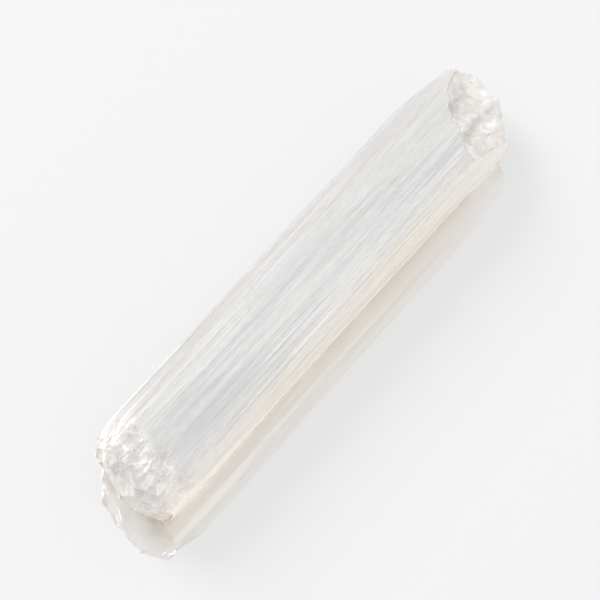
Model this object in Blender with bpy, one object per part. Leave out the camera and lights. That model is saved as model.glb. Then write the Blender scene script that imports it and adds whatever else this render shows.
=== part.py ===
"""A raw selenite wand: one satin-spar crystal, broken across at both ends.

It lies along X on a flat cleavage face, with +Z up and the origin at the middle of its foot.
The near end is at -X and the far end at +X. The front wall, at -Y, is steep, and the back
edge, at +Y, has a long bevel. Sizes are in metres.
"""

import math

import bmesh
import bpy
from mathutils import Vector, noise

# Driving dimensions
LENGTH = 0.155
WIDTH = 0.0293
HEIGHT = 0.0190
HALF_LENGTH = LENGTH / 2
HALF_WIDTH = WIDTH / 2

# The section across the wand, from the front foot round over the top to the back foot.
# Each corner is a share of half the width (the front is negative) and a share of the height.
SECTION = (
    (-0.80, 0.00),  # front foot
    (-0.95, 0.20),
    (-1.00, 0.52),  # front wall
    (-0.98, 0.94),  # front ridge
    (-0.45, 1.00),  # crown
    (0.43, 1.00),  # back ridge
    (0.92, 0.67),  # back bevel
    (1.00, 0.40),  # back wall
    (0.80, 0.00),  # back foot
)
CORNER_ROUNDING = 0.0014

# How finely the solid is drawn
AROUND = 96  # points round the section, a multiple of four
OUTLINE_STEPS = 1440  # points of the rounded outline that those are picked from
NEAR_STEP = 0.0014  # between rings in the shattered stretch
BODY_STEP = 0.0066
FAR_STEP = 0.0018
FAR_RINGS = 8  # the close rings at the far end

# The fibres lie in bundles, which stand out as long ledges
LEDGE_REACH = 0.060  # how far a ledge runs along the wand
LEDGE_WIDTH = 0.0034
LEDGE_DEPTH = 0.00060
LEDGE_LEVELS = 3.0
SWELL_REACH = 0.055  # the slow swelling and narrowing of the whole log
SWELL_DEPTH = 0.0004
FOOT_MARGIN = 0.0022  # the flat foot and the strip this far above it stay smooth

# Broken surfaces are conchoidal: shallow curved scoops that meet in sharp crests
SCOOP_LEVEL = 0.45  # how unlike the depths of neighbouring scoops are
SCOOP_TILT = 0.80
SCOOP_CURVE = 0.75

# The near end: a blunt break that bulges below its top edge. How far it stands back from its
# foremost point, by share of half the width and then by share of the height.
NEAR_PLAN = (
    (-1.0, 0.0048),
    (-0.8, 0.0018),
    (-0.4, 0.0000),
    (0.1, 0.0016),
    (0.4, 0.0030),
    (0.7, 0.0060),
    (1.0, 0.0125),
)
NEAR_PROFILE = ((0.00, 0.0046), (0.25, 0.0016), (0.55, 0.0000), (0.80, 0.0016), (1.00, 0.0040))
NEAR_SCOOP = 0.0048
NEAR_ROUGHNESS = 0.0015
# The shattered stretch on top behind it
SHATTER_REACH = 0.0165
SHATTER_SLOPE = 0.0016
SHATTER_SCOOP = 0.0044
SHATTER_ROUGHNESS = 0.0017

# The far end: an oblique break that faces up. How far from the middle of the wand its top edge
# and its furthest reach lie, by share of half the width.
FAR_TOP = (
    (-1.00, 0.0495),
    (-0.70, 0.0515),
    (-0.20, 0.0560),
    (0.06, 0.0585),
    (0.33, 0.0635),
    (0.52, 0.0695),
    (0.80, 0.0705),
)
FAR_REACH = (
    (-1.00, 0.0650),
    (-0.85, 0.0680),
    (-0.50, 0.0715),
    (-0.30, 0.0752),
    (0.05, 0.0760),
    (0.30, 0.0775),
    (0.55, 0.0760),
    (0.80, 0.0715),
)
FAR_BROW = 1.05  # shares of the height at which the slope starts and at which it reaches furthest
FAR_CHIN = 0.52
FAR_UNDERCUT = 0.0040
FAR_SCOOP = 0.0050
FAR_ROUGHNESS = 0.0017
# Pits in it: across, up, radius, depth. They are drawn out across, like the slope they lie on.
FAR_PITS = (
    (0.0024, 0.0162, 0.0036, 0.0040),
    (-0.0068, 0.0158, 0.0034, 0.0040),
)
FAR_PIT_STRETCH = 1.8
FAR_NARROWING = 0.30  # the back edge draws in towards the far tip
FAR_NARROW_START = 0.052
BACK_TAPER = 0.045  # the back side is this share narrower at the near end and wider at the far end

SURFACE_COLOUR = (0.90, 0.89, 0.87, 1.0)


def smooth_step(value, low, high):
    share = min(1.0, max(0.0, (value - low) / (high - low)))
    return share * share * (3.0 - 2.0 * share)


def read_curve(points, at):
    """The value of a curve through (place, value) points."""
    if at <= points[0][0]:
        return points[0][1]
    for (a, first), (b, second) in zip(points, points[1:]):
        if at <= b:
            return first + (second - first) * (at - a) / (b - a)
    return points[-1][1]


def rounded_section():
    """Points (y, z) evenly spaced along the section, its corners rounded off, and the way out there."""
    corners = [Vector((across * HALF_WIDTH, up * HEIGHT)) for across, up in SECTION]
    sides = list(zip(corners, corners[1:] + corners[:1]))
    lengths = [(b - a).length for a, b in sides]
    step = sum(lengths) / OUTLINE_STEPS
    dense = []
    for (a, b), length in zip(sides, lengths):
        count = max(1, round(length / step))
        dense += [a.lerp(b, i / count) for i in range(count)]
    reach = round(CORNER_ROUNDING / step)
    points = []
    for i in range(len(dense)):
        around = [dense[(i + k) % len(dense)] for k in range(-reach, reach + 1)]
        points.append(sum(around, Vector((0, 0))) / len(around))
    foot = min(p.y for p in points)
    section = []
    for i in range(AROUND):
        at = round(i * len(points) / AROUND)
        along = points[(at + 2) % len(points)] - points[at - 2]
        out = Vector((-along.y, along.x)).normalized()
        section.append((points[at] - Vector((0, foot)), out))
    return section


def scoops(point, cell):
    """The height, about -1 to 0.5, of a surface of shallow scoops with sharp crests between them."""
    _, centres = noise.voronoi(point / cell)
    deepest = -10.0
    for centre in centres:
        away = point / cell - centre
        tilt = (noise.cell_vector(centre * 5.0) - Vector((0.5, 0.5, 0.5))) * 2.0
        level = noise.cell(centre * 9.0) * SCOOP_LEVEL
        deepest = max(deepest, level + tilt.dot(away) * SCOOP_TILT - away.length_squared * SCOOP_CURVE)
    return -deepest


def ledges(point):
    """How far the fibre bundles stand out: flat treads with steep sides, long along X."""
    stretched = Vector((point.x / LEDGE_REACH, point.y / LEDGE_WIDTH, point.z / LEDGE_WIDTH))
    height = noise.noise(stretched) * LEDGE_LEVELS
    tread = math.floor(height)
    riser = smooth_step(height - tread, 0.35, 0.65)
    return (tread + riser) / LEDGE_LEVELS * LEDGE_DEPTH


def swelling(point):
    place = Vector((point.x / SWELL_REACH, point.y / WIDTH, point.z / WIDTH + 3.0))
    return noise.noise(place) * SWELL_DEPTH


def near_break(y, z):
    """X of the near end's broken surface."""
    across = y / HALF_WIDTH
    middle = 1.0 - 0.7 * across * across
    stand_back = read_curve(NEAR_PLAN, across) + read_curve(NEAR_PROFILE, z / HEIGHT) * middle
    rough = scoops(Vector((3.1 * NEAR_SCOOP, y, z)), NEAR_SCOOP)
    return -HALF_LENGTH + stand_back - rough * NEAR_ROUGHNESS


def far_break(y, z):
    """X of the far end's broken surface."""
    across = y / HALF_WIDTH
    up = z / HEIGHT
    top, reach = read_curve(FAR_TOP, across), read_curve(FAR_REACH, across)
    slope = smooth_step(up, FAR_BROW, FAR_CHIN)
    undercut = FAR_UNDERCUT * (max(0.0, FAR_CHIN - up) / FAR_CHIN) ** 2
    rough = scoops(Vector((8.7 * FAR_SCOOP, y, z)), FAR_SCOOP)
    x = top + (reach - top) * slope - undercut + rough * FAR_ROUGHNESS
    for pit_y, pit_z, radius, depth in FAR_PITS:
        away = math.hypot(y - pit_y, (z - pit_z) * FAR_PIT_STRETCH)
        x -= depth * (1.0 - smooth_step(away, radius * 0.35, radius))
    return x


def shatter(point):
    """How deep the chips on top of the near end are cut, from the sound surface inwards."""
    wander = noise.noise(Vector((4.0, point.y / SHATTER_SCOOP, point.z / SHATTER_SCOOP)))
    edge = SHATTER_REACH * (1.0 + 0.25 * wander)
    from_end = point.x + HALF_LENGTH
    inside = 1.0 - smooth_step(from_end, edge * 0.80, edge)
    upper = smooth_step(point.z, HEIGHT * 0.35, HEIGHT * 0.60)
    slope = SHATTER_SLOPE * max(0.0, 1.0 - from_end / edge)
    chips = (0.35 - 0.65 * scoops(point, SHATTER_SCOOP)) * SHATTER_ROUGHNESS
    return inside * upper * (slope + max(0.0, chips))


def wand_point(x, y, z, out):
    """The surface at x, on the line that starts from (y, z) of the section."""
    if y > 0.0:
        y *= 1.0 + BACK_TAPER * x / HALF_LENGTH
        y *= 1.0 - FAR_NARROWING * smooth_step(x, FAR_NARROW_START, HALF_LENGTH * 1.1)
    nominal = Vector((x, y, z))
    clear_of_foot = smooth_step(z, 0.0001, FOOT_MARGIN)
    proud = (ledges(nominal) + swelling(nominal) - shatter(nominal)) * clear_of_foot
    return Vector((x, y + out.x * proud, max(0.0, z + out.y * proud)))


def stations():
    """Shares of the way from the near rim to the far rim at which the section is drawn."""
    near = [i * NEAR_STEP for i in range(round(SHATTER_REACH * 1.1 / NEAR_STEP))]
    far_start = LENGTH - FAR_RINGS * FAR_STEP
    span = far_start - near[-1]
    count = round(span / BODY_STEP)
    body = [near[-1] + span * (i + 1) / count for i in range(count)]
    far = [far_start + (i + 1) * FAR_STEP for i in range(FAR_RINGS)]
    return [x / LENGTH for x in near + body + far]


def rim(section, break_x):
    """The closed loop of points where the body meets an end."""
    loop = []
    for point, out in section:
        at_rim = Vector((0.0, point.x, point.y))
        for _ in range(3):
            at_rim = wand_point(break_x(at_rim.y, at_rim.z), point.x, point.y, out)
        loop.append(Vector((break_x(at_rim.y, at_rim.z), at_rim.y, at_rim.z)))
    return loop


def end_grid(bm, loop, break_x, outwards):
    """Fills a rim with a square grid of quads that lies on the broken surface."""
    side = len(loop) // 4
    rows = [[None] * (side + 1) for _ in range(side + 1)]
    for i in range(side + 1):
        rows[0][i] = loop[i]
        rows[i][side] = loop[side + i]
        rows[side][side - i] = loop[2 * side + i]
        rows[side - i][0] = loop[(3 * side + i) % len(loop)]
    for i in range(1, side):
        for j in range(1, side):
            u, v = j / side, i / side
            flat = (
                rows[i][0].co * (1 - u) + rows[i][side].co * u
                + rows[0][j].co * (1 - v) + rows[side][j].co * v
                - rows[0][0].co * (1 - u) * (1 - v) - rows[0][side].co * u * (1 - v)
                - rows[side][0].co * (1 - u) * v - rows[side][side].co * u * v
            )
            rows[i][j] = bm.verts.new((break_x(flat.y, flat.z), flat.y, flat.z))
    for i in range(side):
        for j in range(side):
            quad = [rows[i][j], rows[i][j + 1], rows[i + 1][j + 1], rows[i + 1][j]]
            bm.faces.new(quad if outwards else quad[::-1])


def build_wand():
    section = rounded_section()
    near_rim = rim(section, near_break)
    far_rim = rim(section, far_break)
    shares = stations()
    bm = bmesh.new()
    rings = []
    for share in shares:
        ring = []
        for (point, out), near, far in zip(section, near_rim, far_rim):
            if share == 0:
                place = near
            elif share == shares[-1]:
                place = far
            else:
                place = wand_point(near.x + (far.x - near.x) * share, point.x, point.y, out)
            ring.append(bm.verts.new(place))
        rings.append(ring)
    for ring, after in zip(rings, rings[1:]):
        for i in range(AROUND):
            j = (i + 1) % AROUND
            bm.faces.new((ring[i], ring[j], after[j], after[i]))
    end_grid(bm, rings[0], near_break, False)
    end_grid(bm, rings[-1], far_break, True)
    bmesh.ops.recalc_face_normals(bm, faces=bm.faces)
    low = [min(v.co[k] for v in bm.verts) for k in range(3)]
    high = [max(v.co[k] for v in bm.verts) for k in range(3)]
    middle = Vector(((low[0] + high[0]) / 2, (low[1] + high[1]) / 2, low[2]))
    bmesh.ops.translate(bm, verts=bm.verts, vec=-middle)
    mesh = bpy.data.meshes.new("wand")
    bm.to_mesh(mesh)
    bm.free()
    return mesh


def selenite():
    material = bpy.data.materials.new("selenite")
    material.use_nodes = True
    shader = material.node_tree.nodes["Principled BSDF"]
    shader.inputs["Base Color"].default_value = SURFACE_COLOUR
    shader.inputs["Roughness"].default_value = 0.35
    shader.inputs["Metallic"].default_value = 0.0
    return material


def main():
    for obj in list(bpy.data.objects):
        bpy.data.objects.remove(obj)
    mesh = build_wand()
    mesh.materials.append(selenite())
    wand = bpy.data.objects.new("wand", mesh)
    bpy.context.scene.collection.objects.link(wand)


main()
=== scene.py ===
import math

import bmesh
import bpy
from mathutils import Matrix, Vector, noise


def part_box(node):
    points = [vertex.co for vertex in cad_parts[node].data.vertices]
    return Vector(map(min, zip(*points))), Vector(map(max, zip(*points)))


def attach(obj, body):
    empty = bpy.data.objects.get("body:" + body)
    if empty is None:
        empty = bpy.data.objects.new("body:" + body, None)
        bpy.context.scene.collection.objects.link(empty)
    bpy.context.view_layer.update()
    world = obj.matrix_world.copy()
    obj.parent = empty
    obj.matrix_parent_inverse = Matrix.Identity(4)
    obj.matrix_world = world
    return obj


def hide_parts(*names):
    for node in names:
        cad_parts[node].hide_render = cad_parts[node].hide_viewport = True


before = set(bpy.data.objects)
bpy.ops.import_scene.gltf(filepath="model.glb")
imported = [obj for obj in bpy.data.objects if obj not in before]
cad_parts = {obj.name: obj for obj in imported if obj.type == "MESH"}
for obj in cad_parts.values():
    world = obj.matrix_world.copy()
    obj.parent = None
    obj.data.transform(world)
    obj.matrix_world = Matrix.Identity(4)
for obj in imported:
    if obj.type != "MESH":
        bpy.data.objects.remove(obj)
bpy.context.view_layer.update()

mm = 0.001


def smoothStep(value, start, end):
    # from 0 at the start to 1 at the end, whichever of them is the greater
    share = min(1.0, max(0.0, (value - start) / (end - start)))
    return share * share * (3.0 - 2.0 * share)


def readCurve(points, at):
    # the value at a place along a curve of (place, value) points
    if at <= points[0][0]:
        return points[0][1]
    for (a, first), (b, second) in zip(points, points[1:]):
        if at <= b:
            return first + (second - first) * (at - a) / (b - a)
    return points[-1][1]


# The same form as the solid it stands for, drawn finer and with the fibres and flakes on it.
# X runs along the fibres, the front wall is at -Y and the foot lies on the floor.
wandForm = {
    "length": 155 * mm,
    "width": 29.3 * mm,
    "height": 19 * mm,
    # share of half the width, share of the height: front foot, over the top, back foot
    "section": (
        (-0.80, 0.00), (-0.95, 0.20), (-1.00, 0.52), (-0.98, 0.94), (-0.45, 1.00),
        (0.43, 1.00), (0.92, 0.67), (1.00, 0.40), (0.80, 0.00),
    ),
    "cornerRounding": 1.4 * mm,
    "around": 440,           # points round the section, a multiple of four
    "outlineSteps": 4800,    # points of the rounded outline that those are picked from
    "slopeSteps": 6,         # how many of them to each side the way out is worked out from
    "footHeight": 0.05 * mm,  # points no higher than this belong to the foot
    "footShare": 0.35,       # how closely the foot's points stand, beside the rest
    "nearStep": 0.33 * mm,   # between rings in the shattered stretch
    "nearShare": 1.15,       # they stand that close for this share of the stretch's reach
    "bodyStep": 1.6 * mm,
    "farStep": 0.5 * mm,
    "farRings": 26,
    "rimRounds": 3,          # tries to find where the body meets a break
    "reliefFrom": (0.1 * mm, 2.2 * mm),  # heights at which relief starts and is full, over a smooth foot
    "backTaper": 0.045,      # the back is this share narrower at the near end, wider at the far
    "farNarrowing": 0.30,    # and draws in again towards the far tip
    "farNarrowStart": 52 * mm,
    "farNarrowEnd": 1.1,     # share of half the length
    "rimStain": 8.0,         # how many rows in from a rim are stained
    "sharpAngle": 38.0,
}

fibreForm = {
    # bundles of fibres stand out as long ledges
    "ledgeReach": 110 * mm,
    "ledgeWidth": 3.8 * mm,
    "ledgeDepth": 0.16 * mm,
    "ledgeLevels": 3.0,      # how many treads there are to that depth
    "ledgeRiser": (0.35, 0.65),  # the steep share of each tread
    # and the whole stick swells and narrows along its length
    "swellReach": 55 * mm,
    "swellDepth": 0.4 * mm,
    "swellShift": 3.0,       # which part of the pattern
    # ribs and threads on them: reach along, width across, depth
    "ribs": ((60 * mm, 1.5 * mm, 0.05 * mm), (34 * mm, 0.62 * mm, 0.05 * mm)),
    "ribShift": 7.0,
    "ribCrest": 0.35,        # how far a rib's crest stands out, as a share of its depth
    "ribLoss": 0.7,          # share of the ribs that is lost where it is shattered
    "wave": 0.6 * mm,        # how far a fibre wanders sideways
    "waveReach": 40 * mm,
    "waveWidth": 12 * mm,
}

scoopForm = {
    "level": 0.45,      # how unlike the depths of neighbouring scoops are
    "levelSeed": 9.0,
    "tilt": 0.80,
    "tiltSeed": 5.0,
    "curve": 0.75,
    "seamWidth": 0.07,  # how wide the crests between scoops are stained
    "seamGain": 2.0,    # a size half as deep as the first, or deeper, has crests as strong
}

nearEnd = {
    # how far the break stands back from its foremost point, across and then up
    "plan": (
        (-1.0, 4.8 * mm), (-0.8, 1.8 * mm), (-0.4, 0.0), (0.1, 1.6 * mm),
        (0.4, 3.0 * mm), (0.7, 6.0 * mm), (1.0, 12.5 * mm),
    ),
    "profile": (
        (0.00, 4.6 * mm), (0.25, 1.6 * mm), (0.55, 0.0), (0.80, 1.6 * mm), (1.00, 4.0 * mm),
    ),
    "profileLoss": 0.7,      # how much flatter that profile is at the sides
    # scoops: which part of the pattern, size and depth
    "scoops": (
        (3.1, 4.8 * mm, 1.2 * mm),
        (5.3, 2.3 * mm, 0.25 * mm),
        (5.3, 0.9 * mm, 0.07 * mm),
    ),
    # the shattered stretch on top behind it
    "shatterReach": 16.5 * mm,
    "shatterEdge": 4.4 * mm,     # size of the bays along its edge
    "shatterSeed": 4.0,
    "shatterWander": 0.20,       # how far in or out they go, as a share of the reach
    "shatterFade": (0.50, 1.10),     # shares of the reach between which it runs out
    "shatterHeight": (0.35, 0.60),   # and of the height between which it starts
    "shatterSlope": 1.6 * mm,    # how much lower it lies at the very end
    "flakes": (
        (0.0, 4.4 * mm, 1.3 * mm),
        (11.0, 2.0 * mm, 0.22 * mm),
        (11.0, 0.8 * mm, 0.06 * mm),
    ),
    "cutLevel": 0.35,        # how deep the large flakes are cut on the whole, as a share of their depth
    "cutScoop": 0.65,        # and how much their scoops add to it or take away
    "flakeStretch": 2.2,     # the small flakes are longer along the fibres
    "smallSeam": 0.6,        # and their crests are stained less
    # the stain low on the front corner: its place across and up, and the distances where it is full and gone
    "stainAt": (-11.6 * mm, 4.6 * mm),
    "stainReach": (1.0 * mm, 6.0 * mm),
}

farEnd = {
    # how far from the middle the top edge and the furthest reach of the oblique break lie
    "top": (
        (-1.00, 49.5 * mm), (-0.70, 51.5 * mm), (-0.20, 56.0 * mm), (0.06, 58.5 * mm),
        (0.33, 63.5 * mm), (0.52, 69.5 * mm), (0.80, 70.5 * mm),
    ),
    "reach": (
        (-1.00, 65.0 * mm), (-0.85, 68.0 * mm), (-0.50, 71.5 * mm), (-0.30, 75.2 * mm),
        (0.05, 76.0 * mm), (0.30, 77.5 * mm), (0.55, 76.0 * mm), (0.80, 71.5 * mm),
    ),
    # shares of the height between which it slopes, and how far it is cut back below them
    "brow": 1.05,
    "chin": 0.52,
    "undercut": 4.0 * mm,
    "scoops": (
        (8.7, 5.0 * mm, 1.2 * mm),
        (2.2, 2.2 * mm, 0.28 * mm),
        (2.2, 0.9 * mm, 0.08 * mm),
    ),
    # a smooth hollow with a lip in it: its depth from one side to the other,
    # and the heights between which it starts and ends
    "hollow": (
        (-11.0 * mm, 0.0), (-9.0 * mm, 1.0 * mm), (-7.2 * mm, 2.8 * mm), (-5.7 * mm, 3.6 * mm),
        (-5.1 * mm, 0.4 * mm), (-3.0 * mm, 1.5 * mm), (0.0, 2.9 * mm), (3.0 * mm, 3.8 * mm),
        (4.4 * mm, 2.8 * mm), (5.6 * mm, 0.0),
    ),
    "hollowStart": (10.5 * mm, 14.0 * mm),
    "hollowEnd": (16.8 * mm, 18.6 * mm),
    # pits: across, up, radius, depth
    "pits": (
        (3.4 * mm, 15.4 * mm, 1.9 * mm, 1.4 * mm),
        (-6.6 * mm, 15.2 * mm, 1.9 * mm, 0.8 * mm),
    ),
    "pitFloor": 0.35,        # the flat share of their radius
    "pitStretch": 1.5,       # how much wider they are than high
}

zoneForm = {
    "lowest": 8 * mm,        # they show from this height up
    "fullShare": 0.8,        # and are full at this share of the whole height
    # x, y, reach along, width across, how much milkier
    "zones": (
        (10 * mm, 4.8 * mm, 80 * mm, 1.3 * mm, 1.8),       # the white band beside the bevel, a painted highlight along the ridge
        (0 * mm, 2.4 * mm, 90 * mm, 1.3 * mm, 0.7),
        (0 * mm, 8.0 * mm, 90 * mm, 1.2 * mm, -0.7),       # the clear line along the bevel
        (50 * mm, 8.5 * mm, 14 * mm, 2.2 * mm, -0.7),
        (-50 * mm, -7.0 * mm, 20 * mm, 6.0 * mm, -3.0),    # the clear stretch behind the near end
        (-40 * mm, 3.0 * mm, 16 * mm, 2.5 * mm, 0.3),
        (-15 * mm, -1.5 * mm, 60 * mm, 1.8 * mm, -0.1),
        (-2 * mm, -10.0 * mm, 18 * mm, 3.0 * mm, 0.6),
        (25 * mm, -11.5 * mm, 30 * mm, 1.6 * mm, 0.3),
        (46 * mm, -7.5 * mm, 7 * mm, 1.4 * mm, -1.2),      # clear patch and lines by the far end
        (30 * mm, -2.2 * mm, 24 * mm, 0.6 * mm, -1.0),
        (30 * mm, -4.6 * mm, 24 * mm, 0.6 * mm, -1.0),
        (-62 * mm, 12.0 * mm, 12 * mm, 4.0 * mm, 0.9),     # white flakes of the near end, and a painted glint on one of them
        # a painted glint
        (-64.2 * mm, 12.0 * mm, 2.2 * mm, 1.2 * mm, 5.0),
        (-71.9 * mm, 6.8 * mm, 1.6 * mm, 1.4 * mm, 2.5),
        (-68.0 * mm, -7.5 * mm, 4.0 * mm, 3.0 * mm, 1.2),
        (-70.0 * mm, -13.4 * mm, 2.5 * mm, 1.5 * mm, 4.0),
        (65.0 * mm, -2.6 * mm, 3.0 * mm, 2.2 * mm, -0.8),  # the far end's hollow, pits and outer lobe; the pits' clear, greyer patches are painted shade
        (66.7 * mm, 2.8 * mm, 1.6 * mm, 1.6 * mm, -2.2),
        (60.3 * mm, -7.2 * mm, 1.3 * mm, 1.3 * mm, -2.2),
        (68.0 * mm, -13.0 * mm, 3.0 * mm, 2.0 * mm, -3.0),
    ),
}

halfLength = wandForm["length"] / 2
halfWidth = wandForm["width"] / 2
height = wandForm["height"]


def roundedSection():
    # points (y, z) round the section, with the way out there
    corners = [Vector((across * halfWidth, up * height)) for across, up in wandForm["section"]]
    sides = list(zip(corners, corners[1:] + corners[:1]))
    lengths = [(b - a).length for a, b in sides]
    step = sum(lengths) / wandForm["outlineSteps"]
    dense = []
    for (a, b), length in zip(sides, lengths):
        count = max(1, round(length / step))
        dense += [a.lerp(b, i / count) for i in range(count)]
    # each point moves to the middle of its neighbours, which rounds the corners
    reach = round(wandForm["cornerRounding"] / step)
    window = sum((dense[k % len(dense)] for k in range(-reach, reach + 1)), Vector((0, 0)))
    points = []
    for i in range(len(dense)):
        points.append(window / (2 * reach + 1))
        window += dense[(i + reach + 1) % len(dense)] - dense[(i - reach) % len(dense)]
    foot = min(p.y for p in points)
    footHeight, footShare = wandForm["footHeight"], wandForm["footShare"]
    weights = [footShare if p.y - foot < footHeight else 1.0 for p in points]
    spacing = sum(weights) / wandForm["around"]
    aside = wandForm["slopeSteps"]
    section = []
    passed = 0.0
    for i, weight in enumerate(weights):
        if passed >= len(section) * spacing and len(section) < wandForm["around"]:
            along = points[(i + aside) % len(points)] - points[i - aside]
            section.append((points[i] - Vector((0, foot)), Vector((-along.y, along.x)).normalized()))
        passed += weight
    return section


def scoops(point, cell):
    # shallow scoops with sharp crests between them, about -1 to 0.5, and how near this is to a crest
    _, centres = noise.voronoi(point / cell)
    depths = []
    for centre in centres:
        away = point / cell - centre
        tilt = (noise.cell_vector(centre * scoopForm["tiltSeed"]) - Vector((0.5, 0.5, 0.5))) * 2.0
        level = noise.cell(centre * scoopForm["levelSeed"]) * scoopForm["level"]
        bowl = away.length_squared * scoopForm["curve"]
        depths.append(level + tilt.dot(away) * scoopForm["tilt"] - bowl)
    depths.sort()
    seam = 1.0 - smoothStep(depths[-1] - depths[-2], 0.0, scoopForm["seamWidth"])
    return -depths[-1], seam


def layeredScoops(point, layers):
    # several sizes of scoop on one another: how far they stand out, and how near this is to a crest
    stand = 0.0
    crest = 0.0
    for shift, cell, depth in layers:
        rough, seam = scoops(point + Vector((shift * cell, 0, 0)), cell)
        stand += rough * depth
        crest = max(crest, seam * min(1.0, depth / layers[0][2] * scoopForm["seamGain"]))
    return stand, crest


def ledges(point):
    # flat treads with steep sides
    width = fibreForm["ledgeWidth"]
    place = Vector((point.x / fibreForm["ledgeReach"], point.y / width, point.z / width))
    level = noise.noise(place) * fibreForm["ledgeLevels"]
    tread = math.floor(level)
    riser = smoothStep(level - tread, *fibreForm["ledgeRiser"])
    return (tread + riser) / fibreForm["ledgeLevels"] * fibreForm["ledgeDepth"]


def swelling(point):
    width, shift = wandForm["width"], fibreForm["swellShift"]
    place = Vector((point.x / fibreForm["swellReach"], point.y / width, point.z / width + shift))
    return noise.noise(place) * fibreForm["swellDepth"]


def ribs(point):
    # the fibres themselves, wandering a little as they run
    width = fibreForm["waveWidth"]
    drift = noise.noise(Vector((point.x / fibreForm["waveReach"], point.y / width, point.z / width)))
    across = point.y + drift * fibreForm["wave"]
    up = point.z + drift * fibreForm["wave"]
    stand = 0.0
    for k, (reach, width, depth) in enumerate(fibreForm["ribs"]):
        place = Vector((point.x / reach + fibreForm["ribShift"] * k, across / width, up / width))
        stand += (fibreForm["ribCrest"] - abs(noise.noise(place))) * depth
    return stand


def nearBreak(y, z):
    # X of the near end's broken surface, and its seams and stain
    across = y / halfWidth
    middle = 1.0 - nearEnd["profileLoss"] * across * across
    standBack = readCurve(nearEnd["plan"], across) + readCurve(nearEnd["profile"], z / height) * middle
    stand, seam = layeredScoops(Vector((0, y, z)), nearEnd["scoops"])
    away = math.hypot(y - nearEnd["stainAt"][0], z - nearEnd["stainAt"][1])
    return -halfLength + standBack - stand, seam, 1.0 - smoothStep(away, *nearEnd["stainReach"])


def farBreak(y, z):
    # X of the far end's broken surface, its seams, and a painted shade in its pits
    across = y / halfWidth
    up = z / height
    chin = farEnd["chin"]
    top, reach = readCurve(farEnd["top"], across), readCurve(farEnd["reach"], across)
    slope = smoothStep(up, farEnd["brow"], chin)
    undercut = farEnd["undercut"] * (max(0.0, chin - up) / chin) ** 2
    stand, seam = layeredScoops(Vector((0, y, z)), farEnd["scoops"])
    hollow = readCurve(farEnd["hollow"], y)
    hollow *= smoothStep(z, *farEnd["hollowStart"]) * (1.0 - smoothStep(z, *farEnd["hollowEnd"]))
    x = top + (reach - top) * slope - undercut + stand - hollow
    pitShade = 0.0
    # the pits also carry a painted shade into the colour
    for pitY, pitZ, radius, depth in farEnd["pits"]:
        away = math.hypot(y - pitY, (z - pitZ) * farEnd["pitStretch"])
        pit = 1.0 - smoothStep(away, radius * farEnd["pitFloor"], radius)
        x -= depth * pit
        pitShade = max(pitShade, pit)
    return x, seam, pitShade


def shatter(point):
    # how deep the chips on top of the near end are cut, how far inside their stretch this is,
    # and how near a seam
    bay = nearEnd["shatterEdge"]
    wander = noise.noise(Vector((nearEnd["shatterSeed"], point.y / bay, point.z / bay)))
    edge = nearEnd["shatterReach"] * (1.0 + nearEnd["shatterWander"] * wander)
    fromEnd = point.x + halfLength
    inside = 1.0 - smoothStep(fromEnd, *(edge * share for share in nearEnd["shatterFade"]))
    inside *= smoothStep(point.z, *(height * share for share in nearEnd["shatterHeight"]))
    if inside <= 0.0:
        return 0.0, 0.0, 0.0
    _, cell, depth = nearEnd["flakes"][0]
    rough, crest = scoops(point, cell)
    slope = nearEnd["shatterSlope"] * max(0.0, 1.0 - fromEnd / edge)
    cut = max(0.0, nearEnd["cutLevel"] - nearEnd["cutScoop"] * rough) * depth
    long = Vector((point.x / nearEnd["flakeStretch"], point.y, point.z))
    fine, fineCrest = layeredScoops(long, nearEnd["flakes"][1:])
    seam = max(crest, fineCrest * nearEnd["smallSeam"])
    return inside * inside * (slope + cut - fine), inside, inside * seam


def wandPoint(x, y, z, out):
    # the surface at x, on the line that starts from (y, z) of the section,
    # with how shattered it is there and how near a seam
    if y > 0.0:
        y *= 1.0 + wandForm["backTaper"] * x / halfLength
        narrowEnd = halfLength * wandForm["farNarrowEnd"]
        y *= 1.0 - wandForm["farNarrowing"] * smoothStep(x, wandForm["farNarrowStart"], narrowEnd)
    nominal = Vector((x, y, z))
    chipped, shattered, seam = shatter(nominal)
    proud = ledges(nominal) + swelling(nominal) - chipped
    proud += ribs(nominal) * (1.0 - fibreForm["ribLoss"] * shattered)
    proud *= smoothStep(z, *wandForm["reliefFrom"])
    return Vector((x, y + out.x * proud, max(0.0, z + out.y * proud))), shattered, seam


def zones(place):
    # how much milkier or clearer the crystal is here than elsewhere
    if place.z < zoneForm["lowest"]:
        return 0.0
    milk = 0.0
    for x, y, reach, width, amount in zoneForm["zones"]:
        milk += amount * math.exp(-(((place.x - x) / reach) ** 2) - ((place.y - y) / width) ** 2)
    return milk * smoothStep(place.z, zoneForm["lowest"], height * zoneForm["fullShare"])


def stations():
    # shares of the way from the near rim to the far rim at which the section is drawn
    length, nearStep, farStep = (wandForm[k] for k in ("length", "nearStep", "farStep"))
    nearCount = round(nearEnd["shatterReach"] * wandForm["nearShare"] / nearStep)
    near = [i * nearStep for i in range(nearCount)]
    farStart = length - wandForm["farRings"] * farStep
    span = farStart - near[-1]
    count = round(span / wandForm["bodyStep"])
    body = [near[-1] + span * (i + 1) / count for i in range(count)]
    far = [farStart + (i + 1) * farStep for i in range(wandForm["farRings"])]
    return [x / length for x in near + body + far]


def rim(section, breakX):
    # the closed loop of points where the body meets an end
    loop = []
    for point, out in section:
        atRim = Vector((0.0, point.x, point.y))
        for _ in range(wandForm["rimRounds"]):
            atRim = wandPoint(breakX(atRim.y, atRim.z)[0], point.x, point.y, out)[0]
        loop.append(Vector((breakX(atRim.y, atRim.z)[0], atRim.y, atRim.z)))
    return loop


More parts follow.
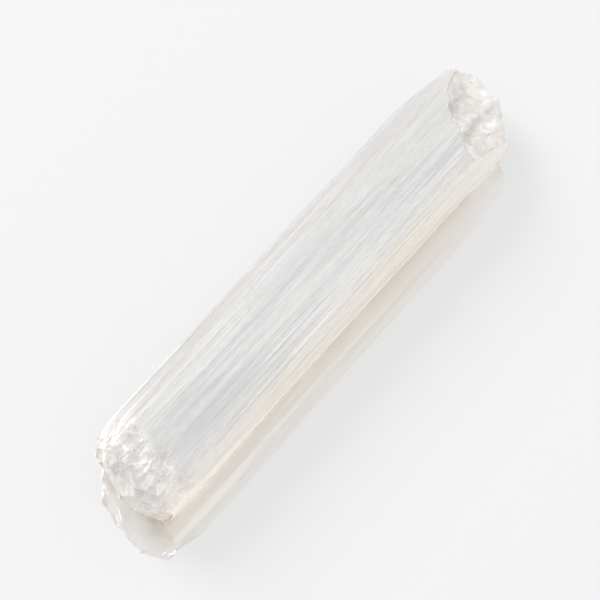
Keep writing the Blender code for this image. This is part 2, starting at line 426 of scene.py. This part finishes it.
def endGrid(bm, loop, breakX, outwards, layers):
    # fills a rim with a square grid of quads that lies on the broken surface
    side = len(loop) // 4
    rows = [[None] * (side + 1) for _ in range(side + 1)]
    for i in range(side + 1):
        rows[0][i] = loop[i]
        rows[i][side] = loop[side + i]
        rows[side][side - i] = loop[2 * side + i]
        rows[side - i][0] = loop[(3 * side + i) % len(loop)]
    for i in range(1, side):
        for j in range(1, side):
            u, v = j / side, i / side
            flat = (
                rows[i][0].co * (1 - u) + rows[i][side].co * u
                + rows[0][j].co * (1 - v) + rows[side][j].co * v
                - rows[0][0].co * (1 - u) * (1 - v) - rows[0][side].co * u * (1 - v)
                - rows[side][0].co * (1 - u) * v - rows[side][side].co * u * v
            )
            x, seam, stainAndPitShade = breakX(flat.y, flat.z)
            vert = bm.verts.new((x, flat.y, flat.z))
            margin = min(i, j, side - i, side - j)
            rimStain = 1.0 - smoothStep(margin, 0.0, wandForm["rimStain"])
            vert[layers["broken"]] = 1.0
            vert[layers["seam"]] = seam
            vert[layers["stainAndPitShade"]] = max(stainAndPitShade, rimStain)
            vert[layers["milk"]] = zones(vert.co)
            rows[i][j] = vert
    for i in range(side):
        for j in range(side):
            quad = [rows[i][j], rows[i][j + 1], rows[i + 1][j + 1], rows[i + 1][j]]
            bm.faces.new(quad if outwards else quad[::-1])


def bodyRings(bm, layers):
    # the rings of points round the body, from the near rim to the far one
    section = roundedSection()
    nearRim = rim(section, nearBreak)
    farRim = rim(section, farBreak)
    shares = stations()
    rings = []
    for share in shares:
        ring = []
        for (point, out), near, far in zip(section, nearRim, farRim):
            place, shattered, seam = wandPoint(near.x + (far.x - near.x) * share, point.x, point.y, out)
            if share == 0:
                place = near
            elif share == shares[-1]:
                place = far
            vert = bm.verts.new(place)
            vert[layers["broken"]] = shattered
            vert[layers["seam"]] = seam
            vert[layers["stainAndPitShade"]] = 1.0 if share in (0, shares[-1]) else 0.0
            vert[layers["milk"]] = zones(place)
            ring.append(vert)
        rings.append(ring)
    return rings


def buildWand():
    bm = bmesh.new()
    # broken is 1 on the breaks and flakes, seam along their crests, and the stain layer marks where iron has
    # settled on the rims and the near corner and paints shade into the far end's pits; milk tells how much
    # milkier the crystal is than elsewhere
    layers = {name: bm.verts.layers.float.new(name) for name in ("broken", "seam", "stainAndPitShade", "milk")}
    rings = bodyRings(bm, layers)
    for ring, after in zip(rings, rings[1:]):
        for i in range(len(ring)):
            j = (i + 1) % len(ring)
            bm.faces.new((ring[i], ring[j], after[j], after[i]))
    endGrid(bm, rings[0], nearBreak, False, layers)
    endGrid(bm, rings[-1], farBreak, True, layers)
    bmesh.ops.recalc_face_normals(bm, faces=bm.faces)
    # set it where the solid is
    low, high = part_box("wand")
    mine = [Vector([pick(v.co[k] for v in bm.verts) for k in range(3)]) for pick in (min, max)]
    move = (low + high) / 2 - (mine[0] + mine[1]) / 2
    move.z = low.z - mine[0].z
    bmesh.ops.translate(bm, verts=bm.verts, vec=move)
    mesh = bpy.data.meshes.new("wandFibres")
    bm.to_mesh(mesh)
    bm.free()
    mesh.shade_smooth()
    mesh.set_sharp_from_angle(angle=math.radians(wandForm["sharpAngle"]))
    return mesh


def addNode(tree, kind, inputs=None, **settings):
    # a node with its settings, and its inputs as values or links
    node = tree.nodes.new(kind)
    for name, value in settings.items():
        setattr(node, name, value)
    for name, value in (inputs or {}).items():
        if isinstance(value, bpy.types.NodeSocket):
            tree.links.new(value, node.inputs[name])
        else:
            node.inputs[name].default_value = value
    return node


def calculate(tree, operation, *values):
    return addNode(tree, "ShaderNodeMath", dict(enumerate(values)), operation=operation).outputs[0]


def times(tree, first, second):
    return calculate(tree, "MULTIPLY", first, second)


def timesPlus(tree, value, factor, added):
    return calculate(tree, "MULTIPLY_ADD", value, factor, added)


def lessened(tree, value, share):
    # 1, less a share of the value
    return timesPlus(tree, value, -share, 1.0)


def calculateVector(tree, operation, first, second):
    return addNode(tree, "ShaderNodeVectorMath", {0: first, 1: second}, operation=operation).outputs[0]


def remap(tree, value, fromLow, fromHigh, toLow=0.0, toHigh=1.0):
    # smoothly from one range to another, held at its ends
    inputs = {"Value": value, "From Min": fromLow, "From Max": fromHigh, "To Min": toLow, "To Max": toHigh}
    return addNode(tree, "ShaderNodeMapRange", inputs, interpolation_type="SMOOTHSTEP").outputs["Result"]


def mixValue(tree, share, first, second):
    # a Mix node has its two numbers in sockets 2 and 3, and its two colours in 6 and 7
    return addNode(tree, "ShaderNodeMix", {0: share, 2: first, 3: second}).outputs[0]


def mixColour(tree, share, first, second, blend="MIX"):
    return addNode(
        tree, "ShaderNodeMix", {0: share, 6: first, 7: second}, data_type="RGBA", blend_type=blend
    ).outputs[2]


def attribute(tree, name):
    return addNode(tree, "ShaderNodeAttribute", attribute_name=name).outputs["Fac"]


def evenNoise(tree, place, scale, detail, roughness, distortion):
    inputs = {"Vector": place, "Scale": scale, "Detail": detail}
    inputs |= {"Roughness": roughness, "Distortion": distortion}
    return addNode(tree, "ShaderNodeTexNoise", inputs).outputs["Fac"]


def stretchedNoise(tree, place, reach, width, detail, shift, roughness=0.55):
    # noise in long threads: reach along X, width across, and which part of the pattern
    mapped = addNode(
        tree, "ShaderNodeMapping",
        {"Vector": place, "Location": (shift, shift, 0.0), "Scale": (1 / reach, 1 / width, 1 / width)},
    )
    inputs = {"Vector": mapped.outputs["Vector"], "Scale": 1.0, "Detail": detail, "Roughness": roughness}
    return addNode(tree, "ShaderNodeTexNoise", inputs)


def newMaterial(name):
    material = bpy.data.materials.new(name)
    material.use_nodes = True
    tree = material.node_tree
    return material, tree, tree.nodes["Principled BSDF"]


selenitePattern = {
    # noises in long threads: reach along, width across, detail, and which part of the pattern
    "drift": (40 * mm, 10 * mm, 1.0, 0.0),
    "lines": (30 * mm, 0.27 * mm, 3.0, 27.0),  # the finest fibres, in the colour
    "flecks": (2.4 * mm, 0.28 * mm, 2.0, 31.0),  # short breaks in those
    "hairs": (48 * mm, 0.45 * mm, 1.0, 21.0),
    "tone": (60 * mm, 1.5 * mm, 2.0, 11.0),    # cooler and warmer bundles
    "tan": (45 * mm, 0.9 * mm, 3.0, 17.0),     # darker streaks of the wall and the bevel
    # threads of fibre: reach along, width across, share of the pattern
    "threads": ((90 * mm, 2.0 * mm, 0.03), (60 * mm, 0.60 * mm, 0.13), (38 * mm, 0.24 * mm, 0.84)),
    "threadDetail": 2.0,
    "threadShift": 3.0,
    "wander": 0.5 * mm,        # how far the drift takes a fibre sideways
    "fleckShare": 0.58,
    "milkSwing": 0.038,        # how far a milky or clear zone shifts the pattern
    # thin lines where the hairs' noise is near a level, the dark ones' first and then the white ones'
    "hairLevels": (0.45, 0.56),
    "hairWidth": 0.035,
    # even noises: scale, detail, roughness, distortion
    "veil": (380.0, 6.0, 0.68, 0.6),
    "patches": (420.0, 3.0, 0.6, 0.0),     # of warmth and rust on the breaks
    "veiled": 0.8,             # how far the veils take the fibres' place on the breaks
    "crackLevel": 0.5,         # cracks run where the patches' noise is near this
    "crackWidth": 0.02,
}


def fibrePlace(tree, place):
    # places moved sideways, because fibres wander as they run
    wander = selenitePattern["wander"]
    drift = stretchedNoise(tree, place, *selenitePattern["drift"]).outputs["Color"]
    drift = calculateVector(tree, "ADD", drift, (-0.5, -0.5, -0.5))
    drift = calculateVector(tree, "MULTIPLY", drift, (0.0, wander, wander))
    return calculateVector(tree, "ADD", place, drift)


def nearLevel(tree, value, level, width):
    # 1 where a noise is at a level, and 0 from a width away on
    away = calculate(tree, "ABSOLUTE", calculate(tree, "SUBTRACT", value, level))
    return remap(tree, away, width, 0.0)


def patternParts(tree):
    # the noises and the mesh's own layers that the looks are made from
    pattern = selenitePattern
    place = addNode(tree, "ShaderNodeTexCoord").outputs["Object"]
    along = fibrePlace(tree, place)
    parts = {name: attribute(tree, name) for name in ("milk", "broken", "seam", "stainAndPitShade")}
    for name in ("lines", "flecks", "hairs", "tone", "tan"):
        parts[name] = stretchedNoise(tree, along, *pattern[name]).outputs["Fac"]
    for name in ("veil", "patches"):
        parts[name] = evenNoise(tree, place, *pattern[name])
    parts["where"] = addNode(tree, "ShaderNodeSeparateXYZ", {0: place}).outputs
    # on the breaks the fibres give way to veils
    milk, swing = parts["milk"], pattern["milkSwing"]
    parts["veil"] = timesPlus(tree, milk, swing, parts["veil"])
    parts["veiled"] = times(tree, parts["broken"], pattern["veiled"])
    parts["threads"] = []
    streak = times(tree, milk, swing)
    for k, (reach, width, share) in enumerate(pattern["threads"]):
        shift = pattern["threadShift"] * k
        thread = stretchedNoise(tree, along, reach, width, pattern["threadDetail"], shift).outputs["Fac"]
        parts["threads"].append(thread)
        streak = timesPlus(tree, thread, share, streak)
    parts["streak"] = mixValue(tree, parts["veiled"], streak, parts["veil"])
    flecks = calculate(tree, "SUBTRACT", parts["flecks"], 0.5)
    lines = timesPlus(tree, flecks, pattern["fleckShare"], parts["lines"])
    lines = mixValue(tree, parts["veiled"], lines, parts["veil"])
    parts["lines"] = timesPlus(tree, milk, swing, lines)
    for name, level in zip(("darkHair", "whiteHair"), pattern["hairLevels"]):
        parts[name] = nearLevel(tree, parts["hairs"], level, pattern["hairWidth"])
    cracks = nearLevel(tree, parts["patches"], pattern["crackLevel"], pattern["crackWidth"])
    parts["cracks"] = times(tree, cracks, parts["broken"])
    return parts


# where each shade starts and where it is full, and its values there if they aren't 0 and 1;
# a name's last letter says which way it goes: X along the fibres, Y across and Z up
shadeSpans = {
    "frontY": (-11 * mm, -13.5 * mm),
    "wallTopZ": (20.3 * mm, 18.5 * mm),
    "wallX": (42 * mm, 58 * mm, 1.0, 0.55),      # the wall's tint and its painted glow are weaker at the far end
    "footZ": (6 * mm, 3 * mm),
    # a painted line of light along the wall just above its foot, where light focused through the crystal
    # comes out, brightest and highest at the near end
    "lightLineTopZ": (8.2 * mm, 6.6 * mm),
    "stripFootZ": (4.6 * mm, 5.4 * mm),
    "stripX": (45 * mm, -50 * mm),
    "stripLiftX": (-25 * mm, -58 * mm, 0.0, 2 * mm),
    # the bevel at the back, and the wall below it, which gets a painted shade where it faces the softbox
    "bevelY": (4.5 * mm, 7 * mm),
    "bevelX": (0 * mm, -40 * mm, 0.45, 0.75),
    "backWallY": (9 * mm, 13 * mm),
    "backWallZ": (13 * mm, 8 * mm),
    # the breaks are warmer below, milkier low down and at the far end, and clearer on top
    "brokenWarmZ": (17.5 * mm, 12 * mm, 0.4, 1.0),
    "brokenFootZ": (9 * mm, 4 * mm),
    "brokenClearX": (-40 * mm, 40 * mm, 0.0, -0.07),
    "brokenClearZ": (12 * mm, 17 * mm, -0.09, 0.05),
}

seleniteFinish = {
    "ior": 1.52,
    "absorbColour": (0.955, 0.953, 0.946, 1.0),
    "absorbDensity": 6.0,
    "fibreRoughness": 0.30,
    "brokenRoughness": 0.24,
    "bump": 0.35,
    "bumpDepth": 0.08 * mm,
    "bumpThread": 0.5,             # share of the middle threads in it, beside the finest
    "bumpVeil": 3.0,
    # clear fibres are greyer and milky ones whiter, between these levels of the lines
    "clearColour": (0.832, 0.848, 0.884, 1.0),
    "milkyColour": (0.988, 0.996, 1.0, 1.0),
    "milkyLevels": (0.39, 0.59),
    "brokenMilk": 0.42,            # the breaks are at least this milky
    # transmission of the clearest and the milkiest fibres, between these levels of the pattern
    "clearLevels": (0.37, 0.63),
    "clearShare": (0.60, 0.45),
    "brokenShare": (0.545, 0.385),  # and that of the breaks and flakes
    "crestClear": 0.35,            # and of the crests on them
    "whiteHair": 0.36,             # of the white hairs
    "wallClear": 0.05,             # and of the front wall
    "bevelClear": 0.16,            # how much clearer the bevel is
    # the cool and warm tones, and the levels of a noise at which each shade starts and is full
    "coolTint": (0.985, 0.988, 1.0, 1.0),
    "coolLevels": (0.50, 0.36),
    "warmTint": (1.0, 0.993, 0.98, 1.0),
    "warmLevels": (0.50, 0.64),
    "darkHair": (0.83, 0.828, 0.824, 1.0),
    # the front wall is warm and streaked, partly its own tone and partly a painted glow of light that passes
    # through the crystal, with a painted line of light above its foot
    "wallTintAndGlow": (0.965, 0.903, 0.815, 1.0),
    "wallStreak": (0.93, 0.90, 0.86, 1.0),
    "wallLevels": (0.46, 0.62),
    "wallFray": 4 * mm,            # how far its streaks run into the top
    "paintedLightColour": (1.0, 0.97, 0.905, 1.0),
    # the foot is warmer still: partly its own tone, partly a painted glow of light through the crystal, seen
    # mostly in the floor's reflection
    "footTintAndGlow": (1.0, 0.935, 0.83, 1.0),
    "bevelTint": (0.92, 0.90, 0.87, 1.0),
    "bevelLevels": (0.40, 0.58, 0.1, 1.0),
    # painted shade on the back wall, which faces the softbox
    "backWallShadeTint": (0.90, 0.885, 0.86, 1.0),
    "brokenTint": (1.0, 0.955, 0.90, 1.0),
    "brokenLevels": (0.38, 0.55),
    "brokenFootTint": (0.985, 0.965, 0.93, 1.0),
    # the stain and rust tints also paint shade into the far end's pits
    "stainAndPitShadeTint": (0.99, 0.955, 0.91, 1.0),
    "rustAndPitShade": (0.98, 0.94, 0.885, 1.0),
    "rustLevels": (0.42, 0.62),
    "crackLevels": (0.50, 0.40),
    "brokenLoss": 0.6,             # share of the fibres' shades that is lost on the breaks
    "lightLineLoss": 0.95,             # and of the wall's tint under its painted line of light
    "footLoss": 0.6,               # and at its foot, which has a tint of its own, partly painted glow
}


def fade(tree, where, name):
    # the value of one of the spans here
    return remap(tree, where[name[-1]], *shadeSpans[name])


def shadeParts(tree, parts):
    # how much of each place's own shade there is
    finish = seleniteFinish
    where = parts["where"]
    unbroken = lessened(tree, parts["broken"], finish["brokenLoss"])
    wallTop = timesPlus(tree, parts["threads"][1], finish["wallFray"], where["Z"])
    wall = times(tree, remap(tree, wallTop, *shadeSpans["wallTopZ"]), fade(tree, where, "frontY"))
    foot = fade(tree, where, "footZ")
    # the painted line of light just above the wall's foot, raised at the near end
    lowered = calculate(tree, "SUBTRACT", where["Z"], fade(tree, where, "stripLiftX"))
    strip = times(tree, remap(tree, lowered, *shadeSpans["lightLineTopZ"]), fade(tree, where, "stripFootZ"))
    strip = times(tree, strip, fade(tree, where, "stripX"))
    wallShade = times(tree, wall, timesPlus(tree, strip, -finish["lightLineLoss"], unbroken))
    wallShade = times(tree, wallShade, fade(tree, where, "wallX"))
    wallShade = times(tree, wallShade, lessened(tree, foot, finish["footLoss"]))
    return {
        "unbroken": unbroken,
        "wall": wall,
        "wallShade": wallShade,
        "strip": times(tree, strip, wall),
        "foot": times(tree, foot, unbroken),
        "bevel": times(tree, fade(tree, where, "bevelY"), fade(tree, where, "bevelX")),
        "backWall": times(tree, fade(tree, where, "backWallY"), fade(tree, where, "backWallZ")),
        "brokenWarm": times(tree, parts["broken"], fade(tree, where, "brokenWarmZ")),
        "brokenFoot": times(tree, parts["broken"], fade(tree, where, "brokenFootZ")),
    }


def seleniteColour(tree, parts, shades):
    finish = seleniteFinish
    milky = remap(tree, parts["lines"], *finish["milkyLevels"])
    milky = calculate(tree, "MAXIMUM", milky, times(tree, parts["broken"], finish["brokenMilk"]))
    colour = mixColour(tree, milky, finish["clearColour"], finish["milkyColour"])
    # the painted line of light along the wall's foot
    colour = mixColour(tree, shades["strip"], colour, finish["paintedLightColour"])
    bevelStreak = remap(tree, parts["tan"], *finish["bevelLevels"])
    bevelStreak = calculate(tree, "MAXIMUM", bevelStreak, parts["broken"])
    wallStreak = remap(tree, parts["tan"], *finish["wallLevels"])
    brokenPatch = remap(tree, parts["patches"], *finish["brokenLevels"])
    # rust on the stained places, so painted shade in the pits too
    rustAndPitShade = times(tree, parts["stainAndPitShade"], remap(tree, parts["patches"], *finish["rustLevels"]))
    cracks = times(tree, parts["cracks"], remap(tree, parts["veil"], *finish["crackLevels"]))
    for share, tint in (
        (remap(tree, parts["tone"], *finish["coolLevels"]), "coolTint"),
        (remap(tree, parts["tone"], *finish["warmLevels"]), "warmTint"),
        (times(tree, parts["darkHair"], shades["unbroken"]), "darkHair"),
        (times(tree, shades["bevel"], bevelStreak), "bevelTint"),
        # painted shade on the back wall
        (shades["backWall"], "backWallShadeTint"),
        # the wall's and the foot's warmth: partly their own tone, partly a painted glow of light through the
        # crystal
        (shades["wallShade"], "wallTintAndGlow"),
        (times(tree, shades["wallShade"], wallStreak), "wallStreak"),
        (times(tree, shades["brokenWarm"], brokenPatch), "brokenTint"),
        (shades["foot"], "footTintAndGlow"),
        (parts["stainAndPitShade"], "stainAndPitShadeTint"),
        (shades["brokenFoot"], "brokenFootTint"),
        (calculate(tree, "MAXIMUM", rustAndPitShade, cracks), "rustAndPitShade"),
    ):
        colour = mixColour(tree, share, colour, finish[tint], "MULTIPLY")
    return colour


def seleniteClearness(tree, parts, shades):
    # how much of the light goes through
    finish = seleniteFinish
    clear = remap(tree, parts["streak"], *finish["clearLevels"], *finish["clearShare"])
    clear = timesPlus(tree, shades["bevel"], finish["bevelClear"], clear)
    brokenClear = remap(tree, parts["streak"], *finish["clearLevels"], *finish["brokenShare"])
    for name in ("brokenClearX", "brokenClearZ"):
        brokenClear = calculate(tree, "ADD", brokenClear, fade(tree, parts["where"], name))
    for share, value in (
        (parts["whiteHair"], finish["whiteHair"]),
        (shades["wall"], finish["wallClear"]),
        (parts["broken"], brokenClear),
        (parts["seam"], finish["crestClear"]),
    ):
        clear = mixValue(tree, share, clear, value)
    return clear


def seleniteBump(tree, parts):
    finish = seleniteFinish
    _, middle, finest = parts["threads"]
    fine = timesPlus(tree, middle, finish["bumpThread"], finest)
    grain = times(tree, parts["veil"], finish["bumpVeil"])
    fine = mixValue(tree, parts["veiled"], fine, grain)
    inputs = {"Height": fine, "Strength": finish["bump"], "Distance": finish["bumpDepth"]}
    return addNode(tree, "ShaderNodeBump", inputs).outputs["Normal"]


def seleniteMaterial():
    finish = seleniteFinish
    material, tree, shader = newMaterial("selenite")
    parts = patternParts(tree)
    shades = shadeParts(tree, parts)
    rough = remap(tree, parts["broken"], 0.0, 1.0, finish["fibreRoughness"], finish["brokenRoughness"])
    for name, value in (
        ("Base Color", seleniteColour(tree, parts, shades)),
        ("Transmission Weight", seleniteClearness(tree, parts, shades)),
        ("Roughness", rough),
        ("Normal", seleniteBump(tree, parts)),
    ):
        tree.links.new(value, shader.inputs[name])
    shader.inputs["IOR"].default_value = finish["ior"]
    absorb = addNode(
        tree, "ShaderNodeVolumeAbsorption",
        {"Color": finish["absorbColour"], "Density": finish["absorbDensity"]},
    )
    tree.links.new(absorb.outputs["Volume"], tree.nodes["Material Output"].inputs["Volume"])
    return material


print("building the wand")
wandMesh = buildWand()
wandMesh.materials.append(seleniteMaterial())
wand = bpy.data.objects.new("wandFibres", wandMesh)
bpy.context.scene.collection.objects.link(wand)
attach(wand, "root")
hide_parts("wand")
print("wand:", len(wandMesh.polygons), "faces")

# the floor lies a hair below the foot, so that light passes between them
floorFinish = {
    "size": 6.0,
    "gap": 0.1 * mm,
    "colour": (0.768, 0.766, 0.778, 1.0),
    "roughness": 0.008,
    "ior": 8.0,
}


def buildFloor():
    half, down = floorFinish["size"] / 2, -floorFinish["gap"]
    mesh = bpy.data.meshes.new("floor")
    corners = [(-half, -half, down), (half, -half, down), (half, half, down), (-half, half, down)]
    mesh.from_pydata(corners, [], [(0, 1, 2, 3)])
    material, _, shader = newMaterial("floorWhite")
    shader.inputs["Base Color"].default_value = floorFinish["colour"]
    shader.inputs["Roughness"].default_value = floorFinish["roughness"]
    shader.inputs["IOR"].default_value = floorFinish["ior"]
    mesh.materials.append(material)
    floor = bpy.data.objects.new("floor", mesh)
    bpy.context.scene.collection.objects.link(floor)


studio = {
    "roof": 0.86,       # brightness of the white tent overhead
    "walls": 0.21,      # how much brighter its walls are all round
    "front": 0.63,      # and how much brighter still in front, and dimmer behind
    "softboxSize": 1.3,
    "softboxPower": 37.0,
    "softboxAt": (0.12, 1.78, 1.25),
    "bounces": 24,      # light goes on through the crystal for this many turns
    "diffuseBounces": 12,
}


def lightTent():
    world = bpy.data.worlds.new("studio")
    world.use_nodes = True
    tree = world.node_tree
    background = tree.nodes["Background"]
    way = addNode(tree, "ShaderNodeTexCoord").outputs["Generated"]
    way = addNode(tree, "ShaderNodeSeparateXYZ", {0: way}).outputs
    wall = timesPlus(tree, way["Y"], -studio["front"], studio["walls"])
    sideways = calculate(tree, "SUBTRACT", 1.0, calculate(tree, "ABSOLUTE", way["Z"]))
    strength = timesPlus(tree, times(tree, sideways, sideways), wall, studio["roof"])
    background.inputs["Color"].default_value = (1.0, 1.0, 1.0, 1.0)
    tree.links.new(strength, background.inputs["Strength"])
    return world


def lightStudio():
    scene = bpy.context.scene
    scene.world = lightTent()
    data = bpy.data.lights.new("softbox", "AREA")
    data.shape = "SQUARE"
    data.size = studio["softboxSize"]
    data.energy = studio["softboxPower"]
    softbox = bpy.data.objects.new("softbox", data)
    softbox.location = studio["softboxAt"]
    softbox.rotation_euler = Vector(studio["softboxAt"]).to_track_quat("Z", "Y").to_euler()
    scene.collection.objects.link(softbox)
    scene.view_settings.view_transform = "Standard"
    scene.cycles.max_bounces = studio["bounces"]
    scene.cycles.transmission_bounces = studio["bounces"]
    scene.cycles.glossy_bounces = studio["bounces"]
    scene.cycles.diffuse_bounces = studio["diffuseBounces"]


cameraView = {
    "azimuth": -51.9,    # degrees round from -Y
    "elevation": 58.0,
    "distance": 0.75,
    "lens": 180.0,
    "sensor": 36.0,
    "target": (-9.3 * mm, -4.2 * mm, 16.5 * mm),
}


def placeCamera():
    azimuth = math.radians(cameraView["azimuth"])
    elevation = math.radians(cameraView["elevation"])
    flat = math.cos(elevation)
    back = Vector((math.sin(azimuth) * flat, -math.cos(azimuth) * flat, math.sin(elevation)))
    data = bpy.data.cameras.new("camera")
    data.lens = cameraView["lens"]
    data.sensor_width = cameraView["sensor"]
    camera = bpy.data.objects.new("camera", data)
    camera.location = Vector(cameraView["target"]) + back * cameraView["distance"]
    camera.rotation_euler = (-back).to_track_quat("-Z", "Y").to_euler()
    bpy.context.scene.collection.objects.link(camera)
    bpy.context.scene.camera = camera


print("setting the studio")
buildFloor()
lightStudio()
placeCamera()

print("done")
